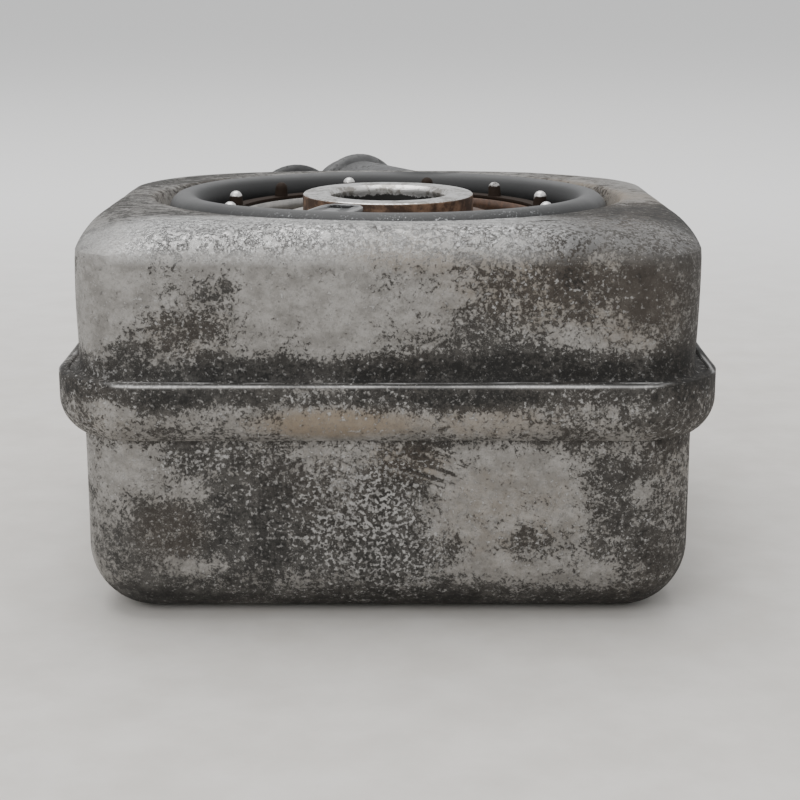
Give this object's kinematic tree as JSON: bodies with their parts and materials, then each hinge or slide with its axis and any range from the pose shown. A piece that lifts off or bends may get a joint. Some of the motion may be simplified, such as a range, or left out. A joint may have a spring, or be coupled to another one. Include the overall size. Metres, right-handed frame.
{
  "type": "oil cooler",
  "caption": "Square oil-to-water cooler that seats under a spin-on oil filter: two seamed aluminium shells, a ringed seal face, a centre tube and bent coolant pipes.",
  "frame": {"origin": "middle of the footprint, on the plane that the filter's gasket seats on", "axes": "+Z along the centre tube towards the engine, +Y out through the wall that the coolant pipes leave"},
  "size_m": [0.098, 0.143, 0.059],
  "materials": {
    "shell": "drawn sheet, weathered and stained, satin",
    "tube": "machined end faces, stained side",
    "seal": "matt, greyed by wear",
    "plate": "pressed and brazed, oil stained",
    "core": "brazed sheet",
    "pipe": "drawn tube, dull"
  },
  "bodies": {
    "root": {"centre_tube": "tube", "coolant_baffle": "core", "coolant_inlet_pipe": "pipe", "coolant_outlet_pipe": "pipe", "engine_side_plate": "plate", "filter_side_plate": "plate", "inlet_pipe_collar": "pipe", "lower_shell": "shell", "oil_plate_lower_1": "core", "oil_plate_lower_2": "core", "oil_plate_lower_3": "core", "oil_plate_lower_4": "core", "oil_plate_lower_5": "core", "oil_plate_upper_1": "core", "oil_plate_upper_2": "core", "oil_plate_upper_3": "core", "oil_plate_upper_4": "core", "oil_plate_upper_5": "core", "outlet_pipe_collar": "pipe", "port_spacer_1": "core", "port_spacer_2": "core", "port_spacer_3": "core", "port_spacer_4": "core", "port_spacer_5": "core", "port_spacer_6": "core", "seal_retainer": "plate", "seal_ring": "seal", "turbulator_1": "core", "turbulator_2": "core", "turbulator_3": "core", "turbulator_4": "core", "turbulator_5": "core", "upper_shell": "shell"}
  },
  "joints": []
}
